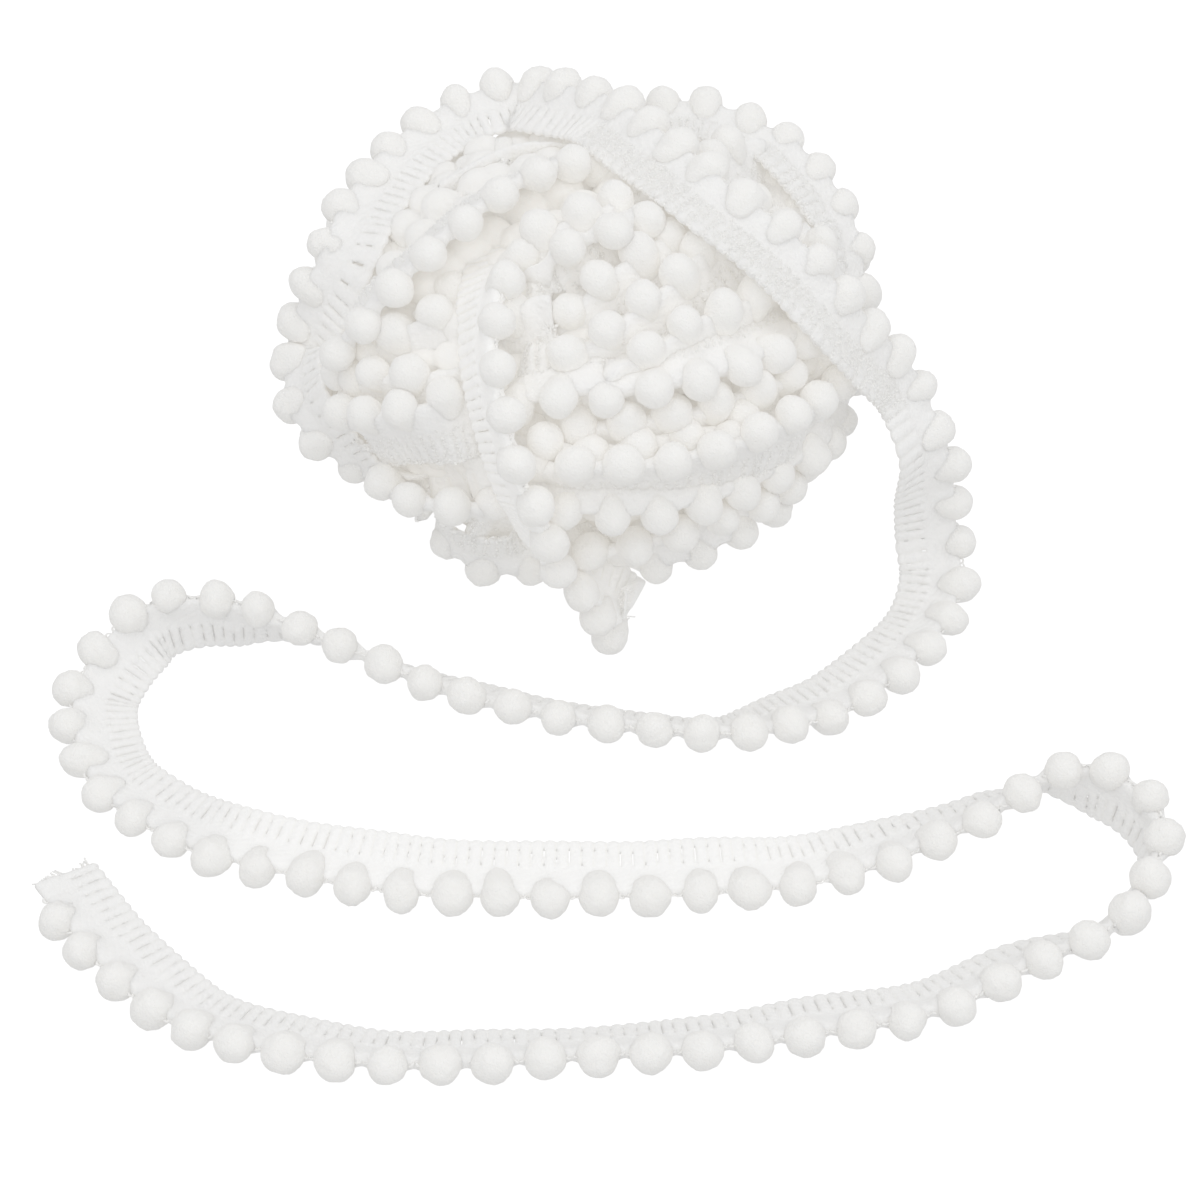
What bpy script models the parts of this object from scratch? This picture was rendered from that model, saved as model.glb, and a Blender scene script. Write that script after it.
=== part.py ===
"""Pompom fringe trim, loosely wound into a ball, with one long and one short loose end.

Metres, +Z up. The origin is the middle of the small flat spot that the ball rests on.
The trim is a narrow ladder tape with one row of pompoms along one edge. Four named
parts lie beside the ball: the tape and the pompom comb of each loose end.
"""

import math

import bmesh
import bpy
from mathutils import Vector, noise

MM = 0.001

# The trim
POMPOM_DIAMETER = 6.0 * MM
POMPOM_PITCH = 7.4 * MM
TAPE_WIDTH = 10.0 * MM
TAPE_THICKNESS = 1.2 * MM
EDGE_CORD_RADIUS = 1.2 * MM  # the edge cord that carries the pompoms, seen between them
POMPOM_OUTSET = 0.3 * MM  # pompom centres stand this far outside the tape's edge
GAP = 0.4 * MM  # clearance between two parts that touch

# The ball
BALL_HALF_X = 45.0 * MM
BALL_HALF_Y = 43.5 * MM
BALL_HALF_Z = 33.0 * MM
BALL_CENTRE_Z = 31.5 * MM
TAPE_RIDGE = 1.6 * MM  # how far a turn's tape stands out of the ball's form
POMPOM_RIDGE = 4.8 * MM  # and how far its row of pompoms does
RIDGE_SOFTNESS = 2.6 * MM  # how softly a ridge rises and falls
BALL_CUTS = 16  # cuts across each side of the cube that the ball is rounded from
LUMP = 1.3 * MM  # unevenness of the winding
LUMP_SCALE = 2.3

# Turns that show on the outside of the ball, as circles round a pole.
# name, pole azimuth in degrees, pole elevation in degrees, offset of the circle's
# plane as a share of the radius, side that the pompoms face (1 is towards the pole)
MAIN_TURNS = (
    ("rim", 136, -25, 0.34, -1),
    ("crossing", 40, 20, 0.65, 1),
    ("short_end", 174, -12, 0.03, -1),
    ("front_band", -56, 63, 0.71, 1),
    ("low_band", -127, 34, 0.80, 1),
    ("belly", -100, -62, 0.42, 1),
    ("shoulder", 60, 35, 0.30, 1),
    ("back", 95, 10, 0.45, 1),
    ("back_low", 150, -55, 0.35, -1),
    ("right_low", 10, -40, 0.55, 1),
    ("crown", 20, 80, 0.62, 1),
)

# The long loose end, from the ball to its cut end: the line through the pompoms.
# x and y in mm, lift in mm above where the trim would rest, heading and rise in
# degrees of the direction from the tape to its pompoms
LONG_END = (
    (56.5, -20, 26, 42, -12),
    (59, -22, 20, 28, -4),
    (60.5, -23, 12.5, 14, 4),
    (61.5, -25, 5.5, 4, 6),
    (62.2, -31, 1.0, -10, 8),
    (59, -40, 0, -30, 10),
    (52.6, -48.4, 0, -45, 12),
    (41.6, -58.3, 0, -55, 13),
    (25.5, -65.5, 0, -85, 36),
    (10, -65, 0, -92, 38),
    (-6, -62, 0, -100, 38),
    (-20, -58.2, 0, -106, 42),
    (-33, -52, 0, -110, 50),
    (-46, -46, 0, -112, 62),
    (-54, -42.5, 0, -110, 88),
    (-62, -41, 0, 86, 80),
    (-70, -42, 0, 110, 62),
    (-76, -46, 0, 138, 34),
    (-80, -53, 0, 165, 15),
    (-80, -60, 0, -172, 10),
    (-78, -67, 0, -158, 10),
    (-75, -73, 0, -146, 8),
    (-70, -78, 0, -132, 5),
    (-59, -85, 0, -112, 2),
    (-43, -90, 0, -104, 1),
    (-28, -93, 0, -97, 0),
    (-13, -94, 0, -91, 0),
    (2, -94, 0, -90, 0),
    (16, -93.5, 0, -87, 3),
    (32, -92, 0, -80, 8),
    (46, -88, 0, -72, 16),
    (59, -83, 0, -66, 34),
    (65, -80, 0, -62, 50),
    (71, -76.5, 0, -62, 70),
    (78, -75.5, 0, 78, 82),
    (84, -80, 0, 35, 80),
    (86.5, -87, 0, 0, 78),
    (84, -94, 0, -25, 76),
    (78, -103, 0, -52, 62),
    (65, -109, 0, -64, 38),
    (51, -116, 0, -69, 30),
    (31, -120.2, 0, -80, 30),
    (17, -122.5, 0, -84, 32),
    (10, -123.2, 0, -86, 34),
    (-3, -124, 0, -88, 33),
    (-20, -125.2, 0, -90, 33),
    (-34, -124.2, 0, -95, 31),
    (-47, -121.2, 0, -105, 24),
    (-59, -116, 0, -124, 17),
    (-71, -105, 0, -136, 14),
    (-80, -94, 0, -142, 14),
    (-82.5, -90.5, 0, -145, 14),
)

# The short loose end, which drops off the front of the ball onto the surface
SHORT_END = (
    (-5, -54, 26.5, -25, 8),
    (-4.5, -54, 20, -30, 5),
    (-2.5, -52.6, 13, -50, -7),
    (0.5, -52.2, 6.5, -76, -23),
    (4.2, -49.8, 0.5, -115, -55),
    (6.5, -48, 0, -130, -70),
)

ROUTE_STEP = 3.9 * MM  # spacing of the tape's cross-sections
FINE_STEP = 0.5 * MM  # spacing used to measure along a route
# A pompom on the comb: rings at these shares of its radius along and across
POMPOM_RINGS = ((-0.97, 0.0), (-0.62, 0.78), (0.0, 1.0), (0.62, 0.78), (0.97, 0.0))
COMB_SIDES = 6

# name, colour, roughness
FINISHES = {
    "ball_yarn": ((0.86, 0.85, 0.83, 1.0), 0.95),
    "tape_cotton": ((0.90, 0.89, 0.86, 1.0), 0.90),
    "pompom_pile": ((0.93, 0.93, 0.92, 1.0), 1.0),
}


def clear_scene():
    for thing in list(bpy.data.objects):
        bpy.data.objects.remove(thing, do_unlink=True)


def finish(name):
    colour, roughness = FINISHES[name]
    material = bpy.data.materials.new(name)
    material.use_nodes = True
    shader = material.node_tree.nodes["Principled BSDF"]
    shader.inputs["Base Color"].default_value = colour
    shader.inputs["Roughness"].default_value = roughness
    shader.inputs["Metallic"].default_value = 0.0
    return material


def add_part(name, bm, material, smooth_angle):
    """Makes a named object from a closed bmesh, with its faces pointing out."""
    bmesh.ops.recalc_face_normals(bm, faces=bm.faces)
    mesh = bpy.data.meshes.new(name)
    bm.to_mesh(mesh)
    bm.free()
    mesh.materials.append(material)
    mesh.shade_smooth()
    mesh.set_sharp_from_angle(angle=math.radians(smooth_angle))
    part = bpy.data.objects.new(name, mesh)
    bpy.context.scene.collection.objects.link(part)
    return part


def direction(azimuth, elevation):
    """Unit vector from two angles in degrees."""
    a = math.radians(azimuth)
    e = math.radians(elevation)
    return Vector((math.cos(e) * math.cos(a), math.cos(e) * math.sin(a), math.sin(e)))


# The ball ---------------------------------------------------------------------------


def soft_step(distance, edge):
    """0 below the edge and 1 above it, with a soft rise between."""
    t = min(max((distance - edge) / (2.0 * RIDGE_SOFTNESS) + 0.5, 0.0), 1.0)
    return t * t * (3.0 - 2.0 * t)


def turn_ridge(towards, turn):
    """How far one turn stands out of the ball's form in a given direction."""
    _, azimuth, elevation, offset, side = turn
    pole = direction(azimuth, elevation)
    girth = math.sqrt(1.0 - offset * offset)
    across = side * (towards.dot(pole) - offset) / girth * BALL_HALF_Y
    row = (across - POMPOM_DIAMETER / 2.0) / RIDGE_SOFTNESS
    pompoms = POMPOM_RIDGE * math.exp(-row * row / 2.0)
    tape = TAPE_RIDGE * soft_step(across, -TAPE_WIDTH) * soft_step(-across, 0.0)
    return max(pompoms, tape)


def ball_point(towards):
    ridge = max(turn_ridge(towards, turn) for turn in MAIN_TURNS)
    ridge += LUMP * noise.noise(towards * LUMP_SCALE)
    point = Vector((
        towards.x * (BALL_HALF_X + ridge),
        towards.y * (BALL_HALF_Y + ridge),
        towards.z * (BALL_HALF_Z + ridge) + BALL_CENTRE_Z,
    ))
    point.z = max(point.z, 0.0)
    return point


def wound_ball():
    """One solid of the wound form, with its main turns as ridges and a flat spot below."""
    bm = bmesh.new()
    bmesh.ops.create_cube(bm, size=2.0)
    bmesh.ops.subdivide_edges(bm, edges=bm.edges, cuts=BALL_CUTS, use_grid_fill=True)
    for vert in bm.verts:
        even = Vector(math.tan(c * math.pi / 4.0) for c in vert.co)
        vert.co = ball_point(even.normalized())
    bmesh.ops.triangulate(bm, faces=bm.faces)
    return add_part("wound_ball", bm, finish("ball_yarn"), 60)


# The loose ends ---------------------------------------------------------------------


def resting_height(outward):
    """Height of the pompom line when the trim rests with this outward direction."""
    reach = TAPE_WIDTH + POMPOM_OUTSET
    half = TAPE_THICKNESS / 2.0
    tape_low = reach * outward.z + half * math.sqrt(max(0.0, 1.0 - outward.z ** 2))
    return max(POMPOM_DIAMETER / 2.0, tape_low)


def catmull(a, b, c, d, t):
    """Point on the smooth curve between b and c."""
    return 0.5 * (
        2.0 * b
        + (c - a) * t
        + (2.0 * a - 5.0 * b + 4.0 * c - d) * t * t
        + (3.0 * b - a - 3.0 * c + d) * t ** 3
    )


def fine_route(rows):
    """The smooth route through a table of rows, as fine points with their outward side."""
    points = [Vector((x, y, 0.0)) * MM for x, y, _, _, _ in rows]
    lifts = [lift * MM for _, _, lift, _, _ in rows]
    sides = [direction(heading, rise) for _, _, _, heading, rise in rows]
    spots = []
    last = len(rows) - 1
    for i in range(last):
        picks = (max(i - 1, 0), i, i + 1, min(i + 2, last))
        span = (points[i + 1] - points[i]).length + abs(lifts[i + 1] - lifts[i])
        count = max(2, math.ceil(span / FINE_STEP))
        for k in range(count + (i == last - 1)):
            t = k / count
            place = catmull(*(points[p] for p in picks), t)
            outward = sides[i].lerp(sides[i + 1], t * t * (3.0 - 2.0 * t)).normalized()
            lift = catmull(*(lifts[p] for p in picks), t)
            place.z = max(lift, 0.0) + resting_height(outward)
            spots.append((place, outward))
    return spots


class Route:
    """The pompom line of one loose end, read by the distance along it."""

    def __init__(self, rows):
        self.spots = fine_route(rows)
        self.marks = [0.0]
        for (a, _), (b, _) in zip(self.spots, self.spots[1:]):
            self.marks.append(self.marks[-1] + (b - a).length)
        self.length = self.marks[-1]

    def at(self, distance):
        """Place, tangent, outward side and face normal at a distance along the line."""
        distance = min(max(distance, 0.0), self.length)
        low, high = 0, len(self.marks) - 1
        while high - low > 1:
            middle = (low + high) // 2
            if self.marks[middle] <= distance:
                low = middle
            else:
                high = middle
        span = self.marks[high] - self.marks[low]
        t = (distance - self.marks[low]) / span
        place = self.spots[low][0].lerp(self.spots[high][0], t)
        before = self.spots[max(low - 3, 0)][0]
        after = self.spots[min(high + 3, len(self.spots) - 1)][0]
        tangent = (after - before).normalized()
        outward = self.spots[low][1].lerp(self.spots[high][1], t)
        outward = (outward - tangent * outward.dot(tangent)).normalized()
        return place, tangent, outward, tangent.cross(outward)


def loft(bm, rings):
    """Joins rings of vertices into a closed tube with end caps, in triangles."""
    for low, high in zip(rings, rings[1:]):
        for i in range(len(low)):
            j = (i + 1) % len(low)
            bm.faces.new((low[i], low[j], high[j], high[i]))
    bm.faces.new(rings[0][::-1])
    bm.faces.new(rings[-1])
    bmesh.ops.triangulate(bm, faces=bm.faces)


def comb_inner_edge():
    """Distance from the pompom line in to the comb's inner side."""
    return POMPOM_DIAMETER / 2.0


def end_tape(name, route):
    """The tape of a loose end, up to the edge cord that carries the pompoms."""
    inner = -(TAPE_WIDTH + POMPOM_OUTSET)
    outer = -(comb_inner_edge() + GAP)
    half = TAPE_THICKNESS / 2.0
    bm = bmesh.new()
    rings = []
    count = round(route.length / ROUTE_STEP)
    for k in range(count + 1):
        place, _, outward, normal = route.at(route.length * k / count)
        corners = ((inner, -half), (outer, -half), (outer, half), (inner, half))
        ring = [bm.verts.new(place + outward * o + normal * n) for o, n in corners]
        rings.append(ring)
    loft(bm, rings)
    return add_part(name, bm, finish("tape_cotton"), 40)


def end_pompoms(name, route):
    """The pompoms of a loose end as one comb, on the cord along the tape's edge."""
    radius = POMPOM_DIAMETER / 2.0
    count = int((route.length - POMPOM_DIAMETER) / POMPOM_PITCH)
    start = (route.length - count * POMPOM_PITCH) / 2.0
    bm = bmesh.new()
    rings = []
    for k in range(count + 1):
        middle = start + k * POMPOM_PITCH
        for along, across in POMPOM_RINGS:
            place, _, outward, normal = route.at(middle + along * radius)
            size = max(EDGE_CORD_RADIUS, across * radius)
            centre = place + outward * (size - comb_inner_edge())
            ring = []
            for side in range(COMB_SIDES):
                angle = 2.0 * math.pi * side / COMB_SIDES
                spoke = outward * math.cos(angle) + normal * math.sin(angle)
                ring.append(bm.verts.new(centre + spoke * size))
            rings.append(ring)
    loft(bm, rings)
    return add_part(name, bm, finish("pompom_pile"), 75)


def loose_end(name, rows):
    route = Route(rows)
    end_tape(name + "_tape", route)
    end_pompoms(name + "_pompoms", route)


def main():
    clear_scene()
    wound_ball()
    loose_end("long_end", LONG_END)
    loose_end("short_end", SHORT_END)


main()
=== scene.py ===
"""Pompom fringe trim, loosely wound into a ball: the tape, the pompoms and their yarn.

The file is laid out as an add-on and is run as a script. Metres, +Z up; the frame
holds the solids that the trim lies on, and every length of trim here follows them.
"""

import math

import bmesh
import bpy
import numpy as np
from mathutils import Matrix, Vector


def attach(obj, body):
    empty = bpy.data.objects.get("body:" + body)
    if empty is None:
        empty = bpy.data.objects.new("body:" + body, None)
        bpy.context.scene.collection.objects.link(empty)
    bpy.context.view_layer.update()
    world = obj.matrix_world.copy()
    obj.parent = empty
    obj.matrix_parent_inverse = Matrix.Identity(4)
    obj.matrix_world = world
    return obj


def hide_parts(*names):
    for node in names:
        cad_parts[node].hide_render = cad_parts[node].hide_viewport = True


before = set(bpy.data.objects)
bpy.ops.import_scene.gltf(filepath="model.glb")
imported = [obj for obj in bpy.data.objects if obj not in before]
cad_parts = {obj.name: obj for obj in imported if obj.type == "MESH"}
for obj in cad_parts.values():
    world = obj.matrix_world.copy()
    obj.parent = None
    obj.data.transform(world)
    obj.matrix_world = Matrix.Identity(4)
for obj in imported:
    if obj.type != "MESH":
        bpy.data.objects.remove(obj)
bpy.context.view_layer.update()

bl_info = {
    "name": "Pompom fringe trim",
    "version": (1, 0, 0),
    "blender": (4, 5, 0),
    "location": "View3D > Sidebar > Trim",
    "description": "Makes a length of pompom fringe trim, wound into a ball",
    "category": "Object",
}

MM = 0.001
HALF_TAPE = 0.6 * MM  # half the thickness with which the tape lies on the surface
BALL_LIFT = 1.5  # mm from the ball's own form out to a length with no lift of its own
FLARE = 34.0  # degrees that pompoms flare out from the ball where a row gives none
LINE_STEP = 0.4 * MM  # from point to point along a smoothed line
BARE_END = 0.35  # share of a pitch that stays without a pompom at each end of a length
THREADS = 20  # loose threads at a cut end

# The long loose end, from the ball to its cut end: the line through the pompoms.
# x and y in mm, lift in mm above where the trim would rest, heading and rise in
# degrees of the direction from the tape to its pompoms
LONG_END = (
    (56.5, -20, 26, 42, -12),
    (59, -22, 20, 28, -4),
    (60.5, -23, 12.5, 14, 4),
    (61.5, -25, 5.5, 4, 6),
    (62.2, -31, 1.0, -10, 8),
    (59, -40, 0, -30, 10),
    (52.6, -48.4, 0, -45, 12),
    (41.6, -58.3, 0, -55, 13),
    (25.5, -65.5, 0, -85, 36),
    (10, -65, 0, -92, 38),
    (-6, -62, 0, -100, 38),
    (-20, -58.2, 0, -106, 42),
    (-33, -52, 0, -110, 50),
    (-46, -46, 0, -112, 62),
    (-54, -42.5, 0, -110, 88),
    (-62, -41, 0, 86, 80),
    (-70, -42, 0, 110, 62),
    (-76, -46, 0, 138, 34),
    (-80, -53, 0, 165, 15),
    (-80, -60, 0, -172, 10),
    (-78, -67, 0, -158, 10),
    (-75, -73, 0, -146, 8),
    (-70, -78, 0, -132, 5),
    (-59, -85, 0, -112, 2),
    (-43, -90, 0, -104, 1),
    (-28, -93, 0, -97, 0),
    (-13, -94, 0, -91, 0),
    (2, -94, 0, -90, 0),
    (16, -93.5, 0, -87, 3),
    (32, -92, 0, -80, 8),
    (46, -88, 0, -72, 16),
    (59, -83, 0, -66, 34),
    (65, -80, 0, -62, 50),
    (71, -76.5, 0, -62, 70),
    (78, -75.5, 0, 78, 82),
    (84, -80, 0, 35, 80),
    (86.5, -87, 0, 0, 78),
    (84, -94, 0, -25, 76),
    (78, -103, 0, -52, 62),
    (65, -109, 0, -64, 38),
    (51, -116, 0, -69, 30),
    (31, -120.2, 0, -80, 30),
    (17, -122.5, 0, -84, 32),
    (10, -123.2, 0, -86, 34),
    (-3, -124, 0, -88, 33),
    (-20, -125.2, 0, -90, 33),
    (-34, -124.2, 0, -95, 31),
    (-47, -121.2, 0, -105, 24),
    (-59, -116, 0, -124, 17),
    (-71, -105, 0, -136, 14),
    (-80, -94, 0, -142, 14),
    (-82.5, -90.5, 0, -145, 14),
)

# The short loose end, which drops off the front of the ball onto the surface
SHORT_END = (
    (-3.7, -48.0, 19.2, -65, 30),
    (-0.1, -46.5, 14.5, -90, 15),
    (2.9, -45.5, 7.5, -110, -15),
    (5.1, -43.0, 0.2, -125, -60),
    (6.8, -41.0, 0, -135, -70),
)

# Lengths that lie on the outside of the ball: azimuth and elevation in degrees of the
# line through the pompoms, seen from the middle of the ball, its lift in mm, and how
# far in degrees the pompoms flare out from the ball
RIM_LENGTH = (
    (-138, -40, -6, 20), (-150, -24, -1, 26), (-158, -10, 2.5, 34), (-165, -5, 2.8, 36),
    (-174, 2, 1.1, 36), (-176, 15, 0.2, 38), (-179, 28, 0.5, 40), (170, 33, 0.7, 40),
    (154, 36, 0.8, 42), (141, 37, 1.1, 42), (129, 38, 1.5, 42), (118, 41, 1.9, 42),
    (105, 44, 1.6, 42), (95, 56, 1.1, 36), (75, 65, 1.2, 30), (39, 72, 1.7, 26),
    (4, 69, 3, 22), (-13, 62, 4, 18), (-18, 53, 4.7, 18), (-20, 44, 5, 18),
    (-21, 33, 5, 16), (-19, 20, 5.5, 12), (-17, 7.5, 8.3, 8),
)
FRONT_DROP = (
    (-130, 74, -8, 16), (-121, 65, -3.5, 28), (-116, 56, 0.5, 36), (-112, 46, 2.5, 44),
    (-107, 36, 3.5, 46),
    (-103, 26, 4, 46), (-100, 17, 4.5, 46), (-96, 6, 4.5, 44),
)
# name, side of the pompoms seen along the length (1 left, -1 right), rows as above
SURFACE_LENGTHS = (
    ("shoulder", 1, (
        (78, 46, -4), (68, 42, -1), (59, 39, 1), (50, 37, 2), (41, 34, 2.5), (34, 31, 2.5),
        (27, 27, 2.5), (21, 23, 2), (15, 18, 1.5), (9, 12, 0), (2, 4, -1), (-5, -5, -3),
        (-12, -16, -6),
    )),
    ("upper_right", 1, (
        (5, 67, -4), (24, 60, -2), (36, 48, -1), (35, 36, -1), (25, 30, -2), (12, 28, -2),
        (3, 20, -3), (-2, 6, -5), (-6, -8, -7),
    )),
    ("far_right", 1, (
        (90, 24, -3), (76, 22, 1), (62, 18, 2.5), (50, 15, 2.5), (38, 12, 2.5), (26, 6, 2),
        (15, 0, 1.5), (4, -8, 1), (-7, -14, 0), (-18, -20, -3), (-30, -26, -6),
    )),
    ("left_inner", 1, (
        (67, 70, -4), (112, 85, -1), (-163, 79, 0), (-149, 67, 1), (-147, 57, 1),
        (-147, 46, 1), (-147, 34, 1), (-150, 20, 0), (-156, 4, -2), (-162, -12, -5),
    )),
    ("top_band", -1, (
        (-3, 76, -4), (-66, 79, -1), (-104, 74, 0), (-125, 69, 0), (-137, 61, -1),
        (-142, 51, -3), (-148, 38, -6),
    )),
    ("middle_left", 1, (
        (-158, 12, -7), (-150, 25, -4), (-142, 37, -2), (-137, 46, -1), (-124, 51, -1),
        (-112, 57, -1), (-96, 60, -4),
    )),
    ("row_b", 1, (
        (-164, -4, -5), (-152, 12, -3), (-140, 24, -2), (-130, 30, -1), (-121, 33, -1),
        (-112, 38, -4), (-103, 44, -7),
    )),
    ("row_a", 1, (
        (-158, -9, -4), (-146, 6, 0), (-134, 18, 1), (-126, 24, 1), (-118, 29, 1),
        (-109, 34, -2), (-100, 39, -6),
    )),
    ("row_c", 1, (
        (-158, -20, -4), (-145, -13, 0), (-131, -6, 1), (-122, -2, 1), (-115, 0, 1),
        (-107, 0, 0), (-99, 1, -2), (-90, 0, -5),
    )),
    ("row_d", -1, (
        (-160, -22, -2), (-148, -20, 2), (-138, -22, 2), (-131, -26, 2.5), (-123, -29, 2.5),
        (-115, -31, 2.5), (-107, -33, 2), (-98, -34, 0), (-87, -33, -3),
    )),
    ("centre_1", 1, (
        (-112, 28, -8), (-97, 43, -2.5), (-82, 49, -1.5), (-66, 55, -0.5), (-43, 59, -0.5),
        (-16, 60, -1.5), (13, 54, -6),
    )),
    ("centre_2", 1, (
        (-104, 32, -8), (-86, 40, -2.5), (-72, 44, -0.5), (-57, 47, -0.5), (-41, 45, -0.5),
        (-25, 42, -2.5), (-8, 36, -7),
    )),
    ("centre_3", -1, (
        (-125, 55, -6), (-110, 63, -1.5), (-98, 68, -0.5), (-75, 70, 0.5), (-46, 71, 0.5),
        (-8, 66, -1.5), (14, 58, -6),
    )),
    ("centre_4", 1, (
        (-104, 46, -8), (-97, 53, -3.5), (-84, 61, -1.5), (-65, 67, -1.5), (-39, 69, -1.5),
        (-10, 64, -6),
    )),
    ("row_1", -1, (
        (-112, 24, -6), (-104, 29, -2), (-95, 34, 0), (-83, 35, 1), (-70, 35, 1),
        (-58, 34, 1), (-44, 32, 0), (-29, 26, -2), (-12, 18, -5),
    )),
    ("row_2b", 1, (
        (-110, 20, -7), (-99, 23, -4), (-88, 26, -2), (-78, 27, -2), (-66, 26, -1),
        (-54, 26, -1), (-41, 24, -2), (-26, 17, -5), (-10, 8, -8),
    )),
    ("row_2", 1, (
        (-108, 14, -4), (-99, 18, 0), (-90, 21, 1.5), (-79, 20, 2), (-67, 20, 2),
        (-57, 19, 2), (-48, 18, 2), (-39, 16, 1.5), (-28, 12, 0), (-17, 6, -2),
        (-6, -2, -5),
    )),
    ("row_3", -1, (
        (-110, 5, -6), (-100, 4, -2), (-91, 4, 0), (-83, 3, 0), (-75, 2, 0), (-67, 2, 0),
        (-58, 1, 0), (-48, -1, 0), (-37, -5, 0), (-24, -10, -1), (-10, -15, -4),
    )),
    ("row_4", 1, (
        (-104, -26, -6), (-94, -19, -2), (-86, -14, 0), (-78, -10, 0), (-69, -8, 0),
        (-59, -8, 0), (-49, -10, 0), (-38, -15, -1), (-26, -21, -4),
    )),
    ("row_5", -1, (
        (-102, -36, -5), (-92, -35, 0), (-83, -33, 1), (-74, -29, 1), (-66, -24, 1),
        (-58, -20, 0), (-48, -18, 0), (-36, -20, -2), (-24, -26, -5),
    )),
    ("inside_rim", 1, (
        (-172, 26, -7), (174, 42, -4), (158, 47, -3), (140, 50, -3), (122, 53, -3),
        (104, 59, -3), (86, 67, -4), (55, 75, -7),
    )),
    ("left_low", 1, (
        (178, 6, -4), (-174, -1, -1), (-165, -6, 0), (-157, -11, 0), (-151, -17, 0),
        (-144, -24, 0), (-136, -32, -3), (-126, -40, -6),
    )),
    ("back_1", 1, (
        (172, 4, -5), (158, 8, -1), (142, 6, 0), (126, 2, 0), (110, 0, 0), (94, 2, 0),
        (78, 4, 0), (62, 2, -1), (48, -4, -5),
    )),
    ("back_2", -1, (
        (168, -8, -5), (152, -10, -1), (136, -14, 0), (120, -18, 0), (104, -18, 0),
        (88, -14, 0), (72, -10, 0), (56, -8, -1), (40, -12, -5),
    )),
    ("back_3", 1, (
        (176, -20, -5), (158, -26, -1), (140, -32, 0), (122, -34, 0), (104, -34, 0),
        (86, -32, 0), (68, -28, 0), (50, -24, -1), (34, -24, -5),
    )),
    ("back_4", -1, (
        (150, -44, -5), (130, -50, -1), (105, -54, 0), (80, -52, 0), (58, -46, -1),
        (40, -40, -5),
    )),
    ("right_low", 1, (
        (32, -16, -5), (18, -22, -1), (4, -28, 0), (-10, -33, 0), (-24, -38, 0),
        (-40, -44, -1), (-56, -46, -5),
    )),
)


class TrimSizes(bpy.types.PropertyGroup):
    pompom: bpy.props.FloatProperty(
        name="Pompom", description="Diameter of a pompom",
        default=6.0 * MM, unit="LENGTH", precision=5,
    )
    pitch: bpy.props.FloatProperty(
        name="Pitch", description="Distance from one pompom to the next",
        default=7.4 * MM, unit="LENGTH", precision=5,
    )
    tape: bpy.props.FloatProperty(
        name="Tape", description="Width of the tape",
        default=10.0 * MM, unit="LENGTH", precision=5,
    )
    rib: bpy.props.FloatProperty(
        name="Rib", description="Distance from one cross rib of the tape to the next",
        default=1.93 * MM, unit="LENGTH", precision=5,
    )
    outset: bpy.props.FloatProperty(
        name="Outset", description="How far pompom centres stand outside the tape",
        default=0.3 * MM, unit="LENGTH", precision=5,
    )


class BallSizes(bpy.types.PropertyGroup):
    half_x: bpy.props.FloatProperty(
        name="Half width", description="Middle of the ball to its tape, along X",
        default=45.0 * MM, unit="LENGTH", precision=5,
    )
    half_y: bpy.props.FloatProperty(
        name="Half depth", description="Middle of the ball to its tape, along Y",
        default=43.5 * MM, unit="LENGTH", precision=5,
    )
    half_z: bpy.props.FloatProperty(
        name="Half height", description="Middle of the ball to its tape, upward",
        default=32.0 * MM, unit="LENGTH", precision=5,
    )
    centre_z: bpy.props.FloatProperty(
        name="Centre", description="Height of the middle of the ball",
        default=31.5 * MM, unit="LENGTH", precision=5,
    )
    hidden_turns: bpy.props.IntProperty(
        name="Turns", description="Turns of trim beneath the lengths on the outside",
        default=5, min=0, max=40,
    )
    seed: bpy.props.IntProperty(
        name="Seed", description="Start of the random draws for the winding",
        default=11, min=0,
    )


class YarnColours(bpy.types.PropertyGroup):
    pile: bpy.props.FloatVectorProperty(
        name="Pile", description="Colour of the pompoms' cut pile",
        default=(0.935, 0.92, 0.892), subtype="COLOR", min=0.0, max=1.0,
    )
    cotton: bpy.props.FloatVectorProperty(
        name="Cotton", description="Colour of the tape's yarn",
        default=(0.96, 0.952, 0.93), subtype="COLOR", min=0.0, max=1.0,
    )
    # painted shade: the colour mixed in at the rib valleys and the low spots of the yarn
    shade: bpy.props.FloatVectorProperty(
        name="Shade", description="Colour between the yarns and deep in the pile",
        default=(0.83, 0.81, 0.765), subtype="COLOR", min=0.0, max=1.0,
    )
    floor: bpy.props.FloatVectorProperty(
        name="Floor", description="Colour of the surface below",
        default=(0.97, 0.97, 0.97), subtype="COLOR", min=0.0, max=1.0,
    )


class StageSizes(bpy.types.PropertyGroup):
    elevation: bpy.props.FloatProperty(
        name="Elevation", description="Height of the view above the horizon",
        default=math.radians(48.0), subtype="ANGLE",
    )
    distance: bpy.props.FloatProperty(
        name="Distance", description="Distance from the camera to its target",
        default=0.45, unit="LENGTH",
    )
    target: bpy.props.FloatVectorProperty(
        name="Target", description="Point on the surface that the camera looks at",
        default=(2.9 * MM, -32.0 * MM, 0.0), subtype="TRANSLATION", precision=4,
    )
    lens: bpy.props.FloatProperty(
        name="Lens", description="Focal length in millimetres on a 36 mm film",
        default=82.2,
    )


# Shader expressions -----------------------------------------------------------------


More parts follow.
